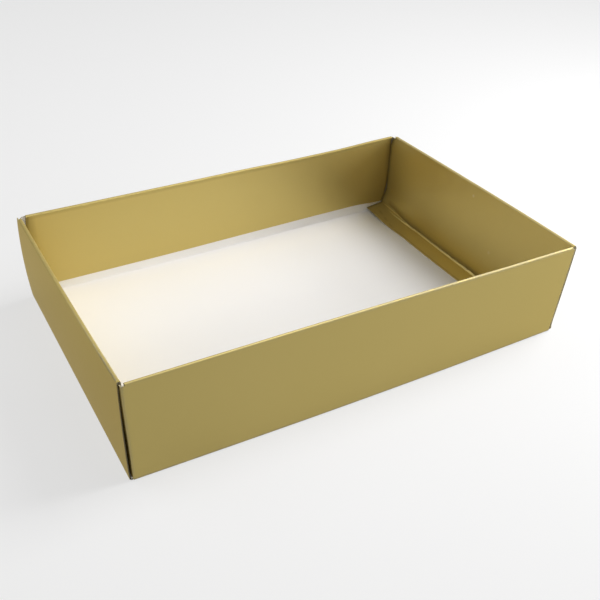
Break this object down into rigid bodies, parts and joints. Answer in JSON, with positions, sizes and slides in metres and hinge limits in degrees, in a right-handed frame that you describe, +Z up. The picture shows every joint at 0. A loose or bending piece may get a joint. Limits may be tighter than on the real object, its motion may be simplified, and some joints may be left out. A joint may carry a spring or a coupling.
{
  "type": "folded gift tray",
  "caption": "Shallow open tray folded from one sheet of gold-faced board, white inside, with double walls, corner tabs and end flanges that lock on the base.",
  "frame": {"origin": "on the table, under the middle of the tray", "axes": "+X along the tray's length, +Y across it, +Z up through the open top"},
  "size_m": [0.305, 0.195, 0.065],
  "materials": {
    "gold_board": "satin gold face, plain white reverse"
  },
  "bodies": {
    "root": {"tray": "gold_board"}
  },
  "joints": []
}
